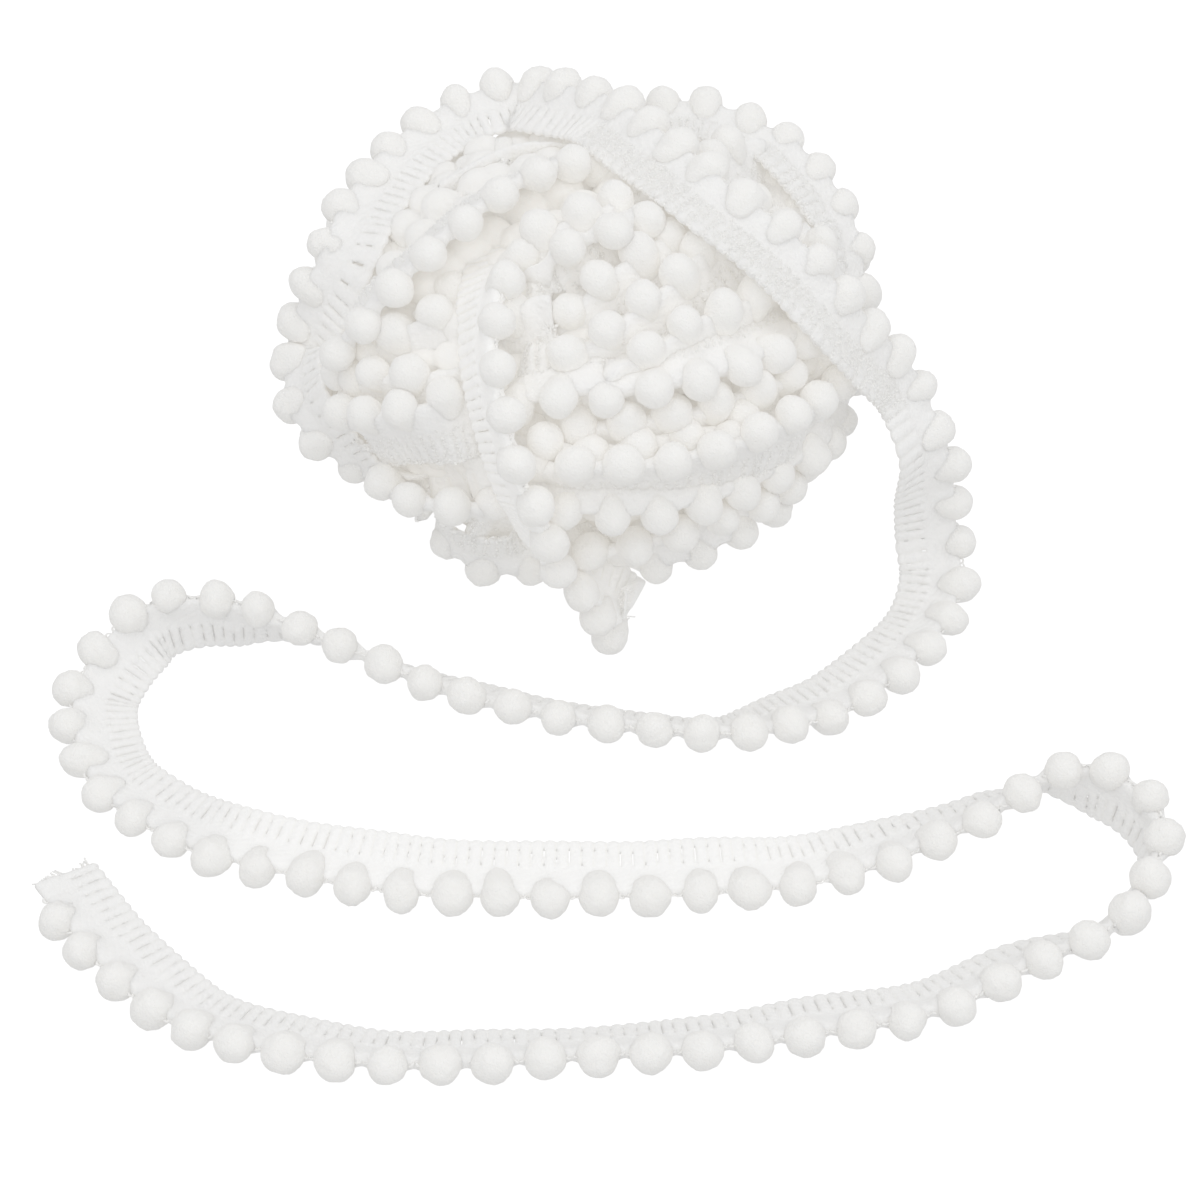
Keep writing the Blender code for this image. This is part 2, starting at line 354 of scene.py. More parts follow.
class Wire:
    """One output of a node, used as a value in sums, products and powers."""

    def __init__(self, recipe, socket):
        self.recipe = recipe
        self.socket = socket

    def math(self, operation, *values):
        sockets = dict(enumerate(values))
        return self.recipe.node("ShaderNodeMath", {"operation": operation}, sockets)

    def __add__(self, other):
        return self.math("ADD", self, other)

    def __radd__(self, other):
        return self.math("ADD", other, self)

    def __sub__(self, other):
        return self.math("SUBTRACT", self, other)

    def __rsub__(self, other):
        return self.math("SUBTRACT", other, self)

    def __mul__(self, other):
        return self.math("MULTIPLY", self, other)

    def __rmul__(self, other):
        return self.math("MULTIPLY", other, self)

    def __pow__(self, other):
        return self.math("POWER", self, other)

    def sine(self):
        return self.math("SINE", self)

    def size(self):
        return self.math("ABSOLUTE", self)

    def clamped(self):
        return self.recipe.node("ShaderNodeClamp", {}, {0: self, 1: 0.0, 2: 1.0})


class Recipe:
    """A material and the one way that nodes are added to it."""

    def __init__(self, name):
        if name in bpy.data.materials:
            raise RuntimeError("a material is already named " + name)
        material = bpy.data.materials.new(name)
        material.use_nodes = True
        self.tree = material.node_tree
        self.shader = self.tree.nodes["Principled BSDF"]

    def node(self, kind, settings, sockets, output=0):
        made = self.tree.nodes.new(kind)
        for name, value in settings.items():
            setattr(made, name, value)
        for key, value in sockets.items():
            self.feed(made.inputs[key], value)
        return Wire(self, made.outputs[output])

    def feed(self, socket, value):
        if isinstance(value, Wire):
            self.tree.links.new(value.socket, socket)
        else:
            socket.default_value = value

    def place(self):
        return self.node("ShaderNodeTexCoord", {}, {}, "Object")

    def lie(self, part):
        """Distance along the trim, or across it, in metres."""
        where = self.node("ShaderNodeAttribute", {"attribute_name": "lie"}, {}, "Vector")
        return self.node("ShaderNodeSeparateXYZ", {}, {0: where}, part)

    def painted_glow(self, near):
        """Painted glow: warm emission for light come through the yarn, more of it deeper in a
        hollow.
        """
        settings = {"attribute_name": "depth"}
        depth = self.node("ShaderNodeAttribute", settings, {}, "Fac")
        # painted glow on open spots: near-white, as much as near asks for
        shallow = self.mix(near, (0.0, 0.0, 0.0, 1.0), (1.0, 1.0, 0.97, 1.0))
        return self.mix(depth, shallow, (1.0, 0.94, 0.84, 1.0))

    def noise(self, scale, detail=2.0, rough=0.5):
        sockets = {"Vector": self.place(), "Scale": scale}
        sockets.update({"Detail": detail, "Roughness": rough})
        return self.node("ShaderNodeTexNoise", {}, sockets, 0)

    def cells(self, scale):
        sockets = {"Vector": self.place(), "Scale": scale}
        return self.node("ShaderNodeTexVoronoi", {"feature": "F1"}, sockets, 0)

    def mix(self, share, first, second):
        sockets = {0: share, 6: first, 7: second}
        return self.node("ShaderNodeMix", {"data_type": "RGBA"}, sockets, 2)

    def bump(self, height, depth):
        sockets = {"Strength": 0.8, "Distance": depth, "Height": height}
        return self.node("ShaderNodeBump", {}, sockets, 0)

    def constants(self, **values):
        for name, value in values.items():
            self.shader.inputs[name.replace("_", " ")].default_value = value

    def surface(self, **wires):
        for name, wire in wires.items():
            self.feed(self.shader.inputs[name.replace("_", " ")], wire)


def opaque(colour):
    return (colour[0], colour[1], colour[2], 1.0)


def yarn_constants(recipe):
    """What all the yarn shares: no gloss, a soft sheen, light passing through, a faint painted
    glow.
    """
    recipe.constants(
        Metallic=0.0,
        Specular_IOR_Level=0.15,
        Sheen_Weight=0.15,
        Sheen_Roughness=0.45,
        Sheen_Tint=(1.0, 0.97, 0.92, 1.0),
        Subsurface_Weight=0.5,
        Subsurface_Radius=(1.0, 0.98, 0.95),
        Subsurface_Scale=2.2 * MM,
        # painted glow: a faint emission on all the yarn, coloured most deep in the hollows
        Emission_Strength=0.085,
    )


def pile_finish(colours):
    """Dense cut pile: fine soft fibre ends, faint clumps, and painted shade in the hollows
    between them.
    """
    recipe = Recipe("cut_pile")
    clumps = recipe.noise(900.0, 3.0, 0.6)
    fibres = recipe.noise(5200.0, 2.0, 0.7)
    tufts = recipe.cells(2600.0)
    # painted shade: toward the shade colour where the clumps and fibres are low
    hollow = ((0.52 - clumps) * 2.4 + (0.5 - fibres) * 0.8).clamped()
    colour = recipe.mix(hollow * 0.2, opaque(colours.pile), opaque(colours.shade))
    height = clumps * 0.9 + fibres * 0.45 - tufts * 0.5
    yarn_constants(recipe)
    recipe.surface(
        Base_Color=colour,
        # painted glow, only deep in the hollows
        Emission_Color=recipe.painted_glow(0.0),
        Roughness=0.92 + fibres * 0.08,
        Normal=recipe.bump(height, 0.30 * MM),
    )


def cotton_finish(colours, rib):
    """Knitted tape: plied yarn across the tape, fuzzy, with painted shade between the ribs."""
    recipe = Recipe("knitted_cotton")
    along = recipe.lie("X")
    across = recipe.lie("Y")
    fuzz = recipe.noise(3800.0, 3.0, 0.65)
    loops = recipe.cells(1350.0)
    wander = recipe.noise(420.0)
    rib_wave = ((along * (math.pi / rib) + wander * 0.5).sine()).size()
    ply = (across * 5200.0 + along * 2600.0 + wander * 6.0).sine()
    valley = (1.0 - rib_wave) ** 2.0
    lane = ((5.2 * MM - across) * 2000.0).clamped()
    # painted shade: toward the shade colour in the rib valleys and where the fuzz is low
    hollow = (valley * lane * 0.9 + (0.52 - fuzz) * 0.5).clamped()
    colour = recipe.mix(hollow * 0.4, opaque(colours.cotton), opaque(colours.shade))
    looped = recipe.lie("Z")
    height = rib_wave * lane * 0.35 + ply * 0.12 + fuzz * 0.7
    height = height - loops * (0.3 + 0.7 * looped)
    yarn_constants(recipe)
    recipe.surface(
        Base_Color=colour,
        # painted glow: near-white where the third lie value is under 0.3, as on flat tape,
        # warm deep in hollows
        Emission_Color=recipe.painted_glow(((0.3 - looped) * 3.3).clamped()),
        Roughness=0.88 + fuzz * 0.10,
        Normal=recipe.bump(height, 0.28 * MM),
    )


def depth_finish(colours):
    """Pompoms packed deep inside the ball, in the shade of the turns that cover them."""
    recipe = Recipe("ball_depth")
    clumps = recipe.noise(900.0, 3.0, 0.6)
    fibres = recipe.noise(4600.0, 2.0, 0.7)
    # painted shade: more of the shade colour than on the outer pile, where clumps and fibres
    # are low
    hollow = ((0.56 - clumps) * 2.4 + (0.5 - fibres)).clamped()
    colour = recipe.mix(hollow * 0.3, opaque(colours.pile), opaque(colours.shade))
    yarn_constants(recipe)
    recipe.surface(
        Base_Color=colour,
        # painted glow, only deep in the hollows
        Emission_Color=recipe.painted_glow(0.0),
        Roughness=0.92 + fibres * 0.06,
        Normal=recipe.bump(clumps * 0.9 + fibres * 0.5, 0.26 * MM),
    )


def floor_finish(colours):
    """Plain pale surface with the faintest unevenness, lit through so that it stays pale."""
    recipe = Recipe("pale_floor")
    grain = recipe.noise(40.0)
    shades = [opaque([share * part for part in colours.floor]) for share in (0.47, 0.46)]
    recipe.constants(Specular_IOR_Level=0.2, Emission_Strength=0.82)
    recipe.surface(
        Base_Color=recipe.mix(grain, *shades),
        Roughness=0.9 + grain * 0.05,
        Emission_Color=opaque(colours.floor),
    )


# Lengths of trim --------------------------------------------------------------------


def unit(vectors):
    return vectors / np.maximum(np.linalg.norm(vectors, axis=-1, keepdims=True), 1e-12)


def directions(azimuth, elevation):
    """Unit vectors from arrays of angles in degrees."""
    a = np.radians(azimuth)
    e = np.radians(elevation)
    return np.stack([np.cos(e) * np.cos(a), np.cos(e) * np.sin(a), np.sin(e)], -1)


def smooth_through(points, spacing):
    """A smooth curve through points with any number of columns, finely divided."""
    ends = np.vstack([points[:1], points, points[-1:]])
    pieces = []
    for a, b, c, d in zip(ends, ends[1:], ends[2:], ends[3:]):
        count = max(2, math.ceil(np.linalg.norm((c - b)[:3]) / spacing))
        t = (np.arange(count) / count)[:, None]
        pieces.append(0.5 * (
            2.0 * b + (c - a) * t + (2.0 * a - 5.0 * b + 4.0 * c - d) * t * t
            + (3.0 * b - a - 3.0 * c + d) * t ** 3
        ))
    pieces.append(points[-1:])
    return np.vstack(pieces)


class Length:
    """A length of trim: the line through its pompoms and the way that they face."""

    TANGENT_REACH = 0.9 * MM  # how far ahead and behind the heading is read

    def __init__(self, line, outward):
        """Takes a few points and outward sides, and smooths the curve through them."""
        fine = smooth_through(np.hstack([line, unit(outward)]), LINE_STEP)
        self.set_fine(fine[:, :3], fine[:, 3:])

    def set_fine(self, line, outward):
        self.line = line
        self.outward = unit(outward)
        steps = np.linalg.norm(np.diff(line, axis=0), axis=1)
        self.marks = np.concatenate([[0.0], np.cumsum(steps)])
        self.total = self.marks[-1]

    def rest_on_floor(self, trim):
        """Raises the line wherever the tape or a pompom would dip below the surface."""
        rise = self.outward[:, 2]
        lying = np.sqrt(np.maximum(0.0, 1.0 - rise ** 2))
        tape_low = (trim.tape + trim.outset) * rise + HALF_TAPE * lying
        low = np.maximum(tape_low, trim.pompom / 2.0)
        self.line[:, 2] = np.maximum(self.line[:, 2], low)
        self.set_fine(self.line, self.outward)

    def mark_near(self, point):
        """The distance along at which the line passes nearest to a point."""
        return self.marks[np.argmin(np.linalg.norm(self.line - point, axis=1))]

    def read(self, values, at):
        return np.stack([np.interp(at, self.marks, values[:, i]) for i in range(3)], -1)

    def at(self, distances):
        """Places, tangents, outward sides and face normals at distances along."""
        distances = np.asarray(distances, float)
        place = self.read(self.line, distances)
        reach = self.TANGENT_REACH
        ahead = self.read(self.line, np.minimum(distances + reach, self.total))
        behind = self.read(self.line, np.maximum(distances - reach, 0.0))
        tangent = unit(ahead - behind)
        outward = self.read(self.outward, distances)
        outward = outward - tangent * np.sum(outward * tangent, -1, keepdims=True)
        outward = unit(outward)
        return place, tangent, outward, np.cross(tangent, outward)


def floor_rows(rows, trim):
    """Points and outward sides of a loose end, from its table."""
    table = np.array(rows, float)
    outward = directions(table[:, 3], table[:, 4])
    reach = trim.tape + trim.outset
    low = np.maximum(reach * outward[:, 2] + HALF_TAPE, trim.pompom / 2.0)
    line = np.column_stack([table[:, 0] * MM, table[:, 1] * MM, table[:, 2] * MM + low])
    return line, outward


def ball_rows(rows, side, ball):
    """Points and outward sides of a length that lies on the ball, from its table."""
    table = np.array(rows, float)
    towards = directions(table[:, 0], table[:, 1])
    lift = (table[:, 2] + BALL_LIFT) * MM
    line = on_ball(towards, lift, ball)
    up = ball_normals(line, ball)
    heading = unit(np.gradient(line, axis=0))
    flare = np.radians(table[:, 3:] if table.shape[1] > 3 else FLARE)
    return line, unit(side * np.cos(flare) * np.cross(up, heading) + np.sin(flare) * up)


def ball_axes(ball):
    return np.array([ball.half_x, ball.half_y, ball.half_z])


def ball_middle(ball):
    return np.array([0.0, 0.0, ball.centre_z])


def on_ball(towards, lift, ball):
    return towards * (ball_axes(ball) + np.asarray(lift)[..., None]) + ball_middle(ball)


def ball_normals(points, ball):
    return unit((points - ball_middle(ball)) / ball_axes(ball) ** 2)


# Meshes of trim ---------------------------------------------------------------------


def mesh_piece(name, verts, faces, material, lie=None):
    """An object from points and faces, ready for how deep in a hollow each point lies."""
    mesh = bpy.data.meshes.new(name)
    mesh.from_pydata(verts.tolist(), [], [f.tolist() for f in faces])
    mesh.attributes.new("depth", "FLOAT", "POINT")
    if lie is not None:
        layer = mesh.attributes.new("lie", "FLOAT_VECTOR", "POINT")
        layer.data.foreach_set("vector", lie.astype(np.float32).ravel())
    mesh.materials.append(material)
    mesh.validate()
    mesh.shade_smooth()
    piece = bpy.data.objects.new(name, mesh)
    bpy.context.scene.collection.objects.link(piece)
    return piece


def ramp(values, low, high):
    """Eases from 0 at low to 1 at high."""
    t = np.clip((values - low) / (high - low), 0.0, 1.0)
    return t * t * (3.0 - 2.0 * t)


# Stations across the tape in mm from its inner selvedge, for fine and plain tape
FINE_STATIONS = (
    0.0, 0.35, 0.8, 1.3, 1.9, 3.0, 4.1, 4.7, 5.2, 5.7, 6.2, 7.0, 7.9, 8.8, 9.5, 10.0,
)
PLAIN_STATIONS = (0.0, 0.7, 1.8, 3.4, 4.8, 5.5, 6.6, 8.0, 9.2, 10.0)
SLIT = (1.3 * MM, 4.7 * MM)  # where the slits between the ribs begin and end
SLIT_FROM = 0.75  # how clear the ribs must be for slits to open between them
SLIT_SHARE = 0.55  # share of the cells along a slit that are open
FINE_RIB, PLAIN_RIB, HIDDEN_RIB = 6, 4, 2  # stations along a rib; only fine ones have slits
# Stations along each rib, as shares of its width; the slit is between the last and first
RIB_STATIONS = {
    FINE_RIB: (0.055, 0.2, 0.4, 0.6, 0.8, 0.945),
    PLAIN_RIB: (0.05, 0.3, 0.65, 0.95),
    HIDDEN_RIB: (0.25, 0.75),
}


def tape_grid(length, trim, per_rib, stations, ribs_shown=np.ones_like):
    """Vertices and faces of a closed ribbed tape, with its slits as real openings."""
    ribs = np.arange(int(length.total / trim.rib))[:, None]
    along = ((ribs + np.array(RIB_STATIONS[per_rib])) * trim.rib).ravel()
    across = np.array(stations) * MM
    s, w = np.meshgrid(along, across, indexing="ij")
    place, _, outward, normal = (v[:, None, :] for v in length.at(along))
    strength = ribs_shown(s)
    phase = (s / trim.rib) % 1.0
    rib = np.sin(math.pi * phase) ** 0.6
    lane = ramp(w, 0.8 * MM, 1.6 * MM) * (1.0 - ramp(w, 4.6 * MM, 5.2 * MM))
    fleece = ramp(w, 5.6 * MM, 6.6 * MM)
    selvedge = 1.0 - ramp(w, 0.9 * MM, 1.6 * MM)
    chain = np.exp(-((w - 5.4 * MM) / (0.45 * MM)) ** 2)
    off_pompom = ((s / trim.pitch - 0.5) % 1.0 - 0.5) * trim.pitch
    near = np.exp(-(off_pompom / (2.8 * MM)) ** 2) * beside_pompoms(s, length, trim)
    skirt = near * ramp(w, 6.2 * MM, 9.6 * MM)
    half = 0.24 * MM + 0.34 * MM * selvedge * (0.35 + 0.65 * rib)
    half = half + lane * strength * 0.42 * MM * rib + lane * (1.0 - strength) * 0.20 * MM
    half = half + 0.36 * MM * chain * (0.75 + 0.25 * np.cos(4.0 * math.pi * phase))
    half = half + fleece * (0.34 + 0.05 * rib * strength) * MM + 1.6 * MM * skirt
    half = half * (1.0 - 0.45 * ramp(w, 9.4 * MM, 10.0 * MM) * (1.0 - near))
    half = half * (1.0 - 0.5 * (1.0 - ramp(w, 0.0, 0.35 * MM)))
    sway = face_sway(s, w, trim)
    scallop = -0.42 * MM * selvedge * (rib - 0.6)
    shift = w + scallop - (trim.tape + trim.outset)
    middle = place + outward * shift[..., None] + normal * sway[..., None]
    top = middle + normal * half[..., None]
    bottom = middle - normal * half[..., None]
    solid = np.ones((len(along) - 1, len(across) - 1), bool)
    in_valley = np.arange(len(along) - 1) % per_rib == per_rib - 1
    in_slit = (across[:-1] >= SLIT[0] - 1e-6) & (across[1:] <= SLIT[1] + 1e-6)
    if per_rib == FINE_RIB:
        open_here = in_valley & (strength[:-1, 0] > SLIT_FROM)
        uneven = np.random.default_rng(3).uniform(size=solid.shape) < SLIT_SHARE
        solid &= ~(open_here[:, None] & in_slit[None, :] & uneven)
    verts = np.concatenate([top.reshape(-1, 3), bottom.reshape(-1, 3)])
    lie = np.stack([s, w, np.zeros_like(s)], -1).reshape(-1, 3)
    return verts, shell_faces(solid), np.concatenate([lie, lie])


def pompom_count(length, trim):
    """How many pompoms a length has, the first of them one pitch from its start."""
    return math.floor(length.total / trim.pitch - BARE_END)


def beside_pompoms(s, length, trim):
    """1 along the stretch that has pompoms, 0 at the bare ends."""
    last = pompom_count(length, trim)
    return (s > 0.5 * trim.pitch) & (s < (last + 0.5) * trim.pitch)


def face_sway(s, w, trim):
    """How far the tape waves out of its own plane, most at the inner selvedge."""
    sway = 0.30 * MM * np.sin(s / (9.0 * MM) + 1.3) + 0.22 * MM * np.sin(s / (4.1 * MM))
    return sway * (1.0 - w / trim.tape)


def shell_faces(solid):
    """Quads of a two-sided sheet, walled wherever a cell is missing next to a solid one."""
    rows, columns = solid.shape
    index = np.arange((rows + 1) * (columns + 1)).reshape(rows + 1, columns + 1)
    below = index.size
    a, b = index[:-1, :-1], index[1:, :-1]
    c, d = index[1:, 1:], index[:-1, 1:]
    faces = [
        np.stack([a, b, c, d], -1)[solid],
        np.stack([a, d, c, b], -1)[solid] + below,
    ]
    padded = np.pad(solid, 1)
    sides = (
        ((a, b), padded[1:-1, :-2]), ((b, c), padded[2:, 1:-1]),
        ((c, d), padded[1:-1, 2:]), ((d, a), padded[:-2, 1:-1]),
    )
    for (p, q), beyond in sides:
        open_side = solid & ~beyond
        wall = np.stack([q, p, p + below, q + below], -1)
        faces.append(wall[open_side])
    return np.concatenate(faces)


def ball_template(divisions):
    """Vertices and faces of a round ball of radius 1."""
    bm = bmesh.new()
    bmesh.ops.create_icosphere(bm, subdivisions=divisions, radius=1.0)
    verts = np.array([v.co[:] for v in bm.verts])
    faces = np.array([[v.index for v in f.verts] for f in bm.faces])
    bm.free()
    return verts, faces


FINE_POMPOM = 400  # a pompom with more points than this gets fine fibre ends as well


def pompom_shape(template, draws):
    """One pompom's uneven round form, drawn out towards the tape it grows from."""
    swell = np.ones(len(template))
    for scale, size in ((1.9, 0.034), (3.7, 0.024), (7.5, 0.014), (15.0, 0.009)):
        way = unit(draws.normal(size=3)) * scale
        swell = swell + size * np.sin(template @ way + draws.uniform(0.0, 6.28))
        way = unit(draws.normal(size=3)) * scale
        swell = swell + size * np.sin(template @ way + draws.uniform(0.0, 6.28))
    if len(template) > FINE_POMPOM:
        swell = swell + draws.normal(0.0, 0.006, len(template))
    shape = template * swell[:, None]
    inside = ramp(-template[:, 1], 0.0, 1.0)
    shape[:, 1] *= 1.0 + 0.26 * inside
    shape[:, 2] *= 1.0 - 0.26 * inside
    return shape


CROWDED = 1.9 * MM  # no pompom is put nearer than this to another length's tape


def pompoms_on(length, trim, template, draws, crowd=None):
    """Vertices and faces of the pompoms along a length, without those in a crowd's way."""
    shape, faces = template
    radius = trim.pompom / 2.0
    marks = np.arange(1, pompom_count(length, trim) + 1) * trim.pitch
    if crowd is not None:
        gap = length.at(marks)[0][:, None] - crowd[None]
        marks = marks[np.linalg.norm(gap, axis=2).min(axis=1) > CROWDED]
    place, tangent, outward, normal = length.at(marks)
    all_verts = []
    for i in range(len(marks)):
        body = pompom_shape(shape, draws)
        size = radius * draws.uniform(0.97, 1.07)
        stretch = [draws.uniform(0.91, 1.01), draws.uniform(0.98, 1.12), 0.96]
        tilt = draws.normal(0.0, 0.10, 3)
        x = unit(tangent[i] + tilt[0] * outward[i] + tilt[1] * normal[i])
        y = unit(outward[i] - x * (outward[i] @ x) + tilt[2] * normal[i])
        y = unit(y - x * (y @ x))
        z = np.cross(x, y)
        body = body * np.array(stretch) * size
        centre = place[i] - outward[i] * (stretch[1] * size - radius)
        centre = centre + draws.normal(0.0, 0.12 * MM, 3)
        all_verts.append(centre + body @ np.stack([x, y, z]))
    if not all_verts:
        return np.zeros((0, 3)), np.zeros((0, 3), int)
    offsets = np.arange(len(marks))[:, None, None] * len(shape)
    return np.concatenate(all_verts), (faces[None] + offsets).reshape(-1, 3)


def tube(points, radius, sides):
    """A closed tube along each row of points: points is (tubes, stations, 3)."""
    heading = unit(np.gradient(points, axis=1))
    spare = np.where(np.abs(heading[..., 2:3]) > 0.8, [1.0, 0.0, 0.0], [0.0, 0.0, 1.0])
    across = unit(np.cross(heading, spare))
    over = np.cross(heading, across)
    turn = 2.0 * math.pi * np.arange(sides) / sides
    spokes = (
        across[:, :, None] * np.cos(turn)[:, None]
        + over[:, :, None] * np.sin(turn)[:, None]
    )
    verts = points[:, :, None] + spokes * radius
    tubes, stations = points.shape[:2]
    index = np.arange(tubes * stations * sides).reshape(tubes, stations, sides)
    turned = np.roll(index, -1, axis=2)
    walls = np.stack([index[:, :-1], turned[:, :-1], turned[:, 1:], index[:, 1:]], -1)
    quads = walls.reshape(-1, 4)
    caps = [index[:, 0, ::-1], index[:, -1]]
    return verts.reshape(-1, 3), quads, np.concatenate(caps)


def edge_curls(length, trim, draws):
    """Small curled loops of yarn at the tape's outer edge, between the pompoms."""
    marks = []
    for k in range(int(length.total / trim.pitch)):
        for share in (0.42, 0.58):
            marks.append((k + share + draws.uniform(-0.04, 0.04)) * trim.pitch)
    marks = np.array(marks)
    place, tangent, outward, normal = (v[:, None, :] for v in length.at(marks))
    count = len(marks)
    size = draws.uniform(0.32, 0.55, (count, 1)) * MM
    turn = np.linspace(-2.3, 2.3, 9)[None, :] + draws.uniform(-0.4, 0.4, (count, 1))
    lean = draws.uniform(-0.8, 0.8, (count, 1))
    out = size * (np.cos(turn) + 0.35)
    side = size * np.sin(turn) * np.cos(lean)
    high = size * np.sin(turn) * np.sin(lean)
    centre = place - outward * (trim.outset + 0.15 * MM)
    points = centre + outward * out[..., None] + tangent * side[..., None]
    points = points + normal * high[..., None]
    return tube(points, 0.19 * MM, 4)


def terry_loops(length, trim, draws, start, end, apart, shape, facing=None):
    """Tiny raised loops of yarn, drawn up tight, that cover the face of the inner lane."""
    nub, faces = shape
    rows = np.arange(0.15 * MM, 5.2 * MM, apart)
    columns = np.arange(start, end, apart)
    s, w = (v.ravel() for v in np.meshgrid(columns, rows))
    s = s + draws.uniform(-0.5, 0.5, s.shape) * apart
    w = w + draws.uniform(-0.4, 0.4, w.shape) * apart
    place, tangent, outward, normal = length.at(s)
    side = np.ones(len(s))
    if facing is not None:
        side = np.sign(np.sum(normal * (place - facing), axis=1))
    height = side * draws.uniform(0.20, 0.40, s.shape) * MM + face_sway(s, w, trim)
    centre = place + outward * (w - trim.tape - trim.outset)[:, None]
    centre = centre + normal * height[:, None]
    turn = draws.uniform(0.0, math.pi, (len(s), 1))
    x = tangent * np.cos(turn) + outward * np.sin(turn)
    y = np.cross(normal, x)
    sizes = draws.uniform(0.8, 1.2, (len(s), 3)) * np.array([0.80, 0.50, 0.60]) * apart
    frames = np.stack([x, y, normal], 1) * sizes[:, :, None]
    verts = centre[:, None] + np.einsum("vk,nkj->nvj", nub, frames)
    offsets = np.arange(len(s))[:, None, None] * len(nub)
    return verts.reshape(-1, 3), (faces[None] + offsets).reshape(-1, 3)


def frayed_end(length, trim, draws):
    """Short loose threads at the cut end of the tape, rooted within its last rib."""
    w = draws.uniform(0.2 * MM, trim.tape - 0.4 * MM, THREADS)
    s = np.full(THREADS, int(length.total / trim.rib) * trim.rib - 0.9 * MM)
    place, tangent, outward, normal = (v[:, None, :] for v in length.at(s))
    root = place + outward * (w - trim.tape - trim.outset)[:, None, None]
    share = np.linspace(0.0, 1.0, 6)[None, :, None]
    along = share * draws.uniform(1.4, 2.3, (THREADS, 1, 1)) * MM
    spread, curl = draws.normal(0.0, 0.5, (2, THREADS, 1, 1))
    bend = along ** 2 / (3.0 * MM)
    points = root + tangent * along + outward * spread * bend + normal * curl * bend
    return tube(points, 0.16 * MM, 4)


def eight_sided():
    """The plainest round nub, for loops that lie deep or far away."""
    verts = [[1, 0, 0], [-1, 0, 0], [0, 1, 0], [0, -1, 0], [0, 0, 1], [0, 0, -1]]
    upper = [[0, 2, 4], [2, 1, 4], [1, 3, 4], [3, 0, 4]]
    lower = [[2, 0, 5], [1, 2, 5], [3, 1, 5], [0, 3, 5]]
    return np.array(verts, float), np.array(upper + lower)


def join(parts):
    """Joins (vertices, faces...) parts; faces of any size are kept as they are."""
    verts, faces, base = [], [], 0
    for part in parts:
        verts.append(part[0])
        faces.extend(face + base for block in part[1:] for face in block)
        base += len(part[0])
    return np.concatenate(verts), faces


# The winding ------------------------------------------------------------------------


def hidden_circle(ball, draws, layer):
    """A turn right round the ball at some slant, as points and outward sides."""
    pole = unit(draws.normal(size=3))
    offset = draws.uniform(-0.45, 0.45)
    girth = math.sqrt(1.0 - offset * offset)
    first = unit(np.cross(pole, draws.normal(size=3)))
    second = np.cross(pole, first)
    turn = np.linspace(0.0, 2.0 * math.pi * 0.97, 48)[:, None]
    towards = offset * pole + girth * (first * np.cos(turn) + second * np.sin(turn))
    scale = 1.0 - layer
    line = towards * ball_axes(ball) * scale + ball_middle(ball)
    heading = unit(np.gradient(line, axis=0))
    side = draws.choice((-1.0, 1.0))
    up = ball_normals(line, ball)
    return line, unit(side * np.cross(up, heading) + 0.28 * up)


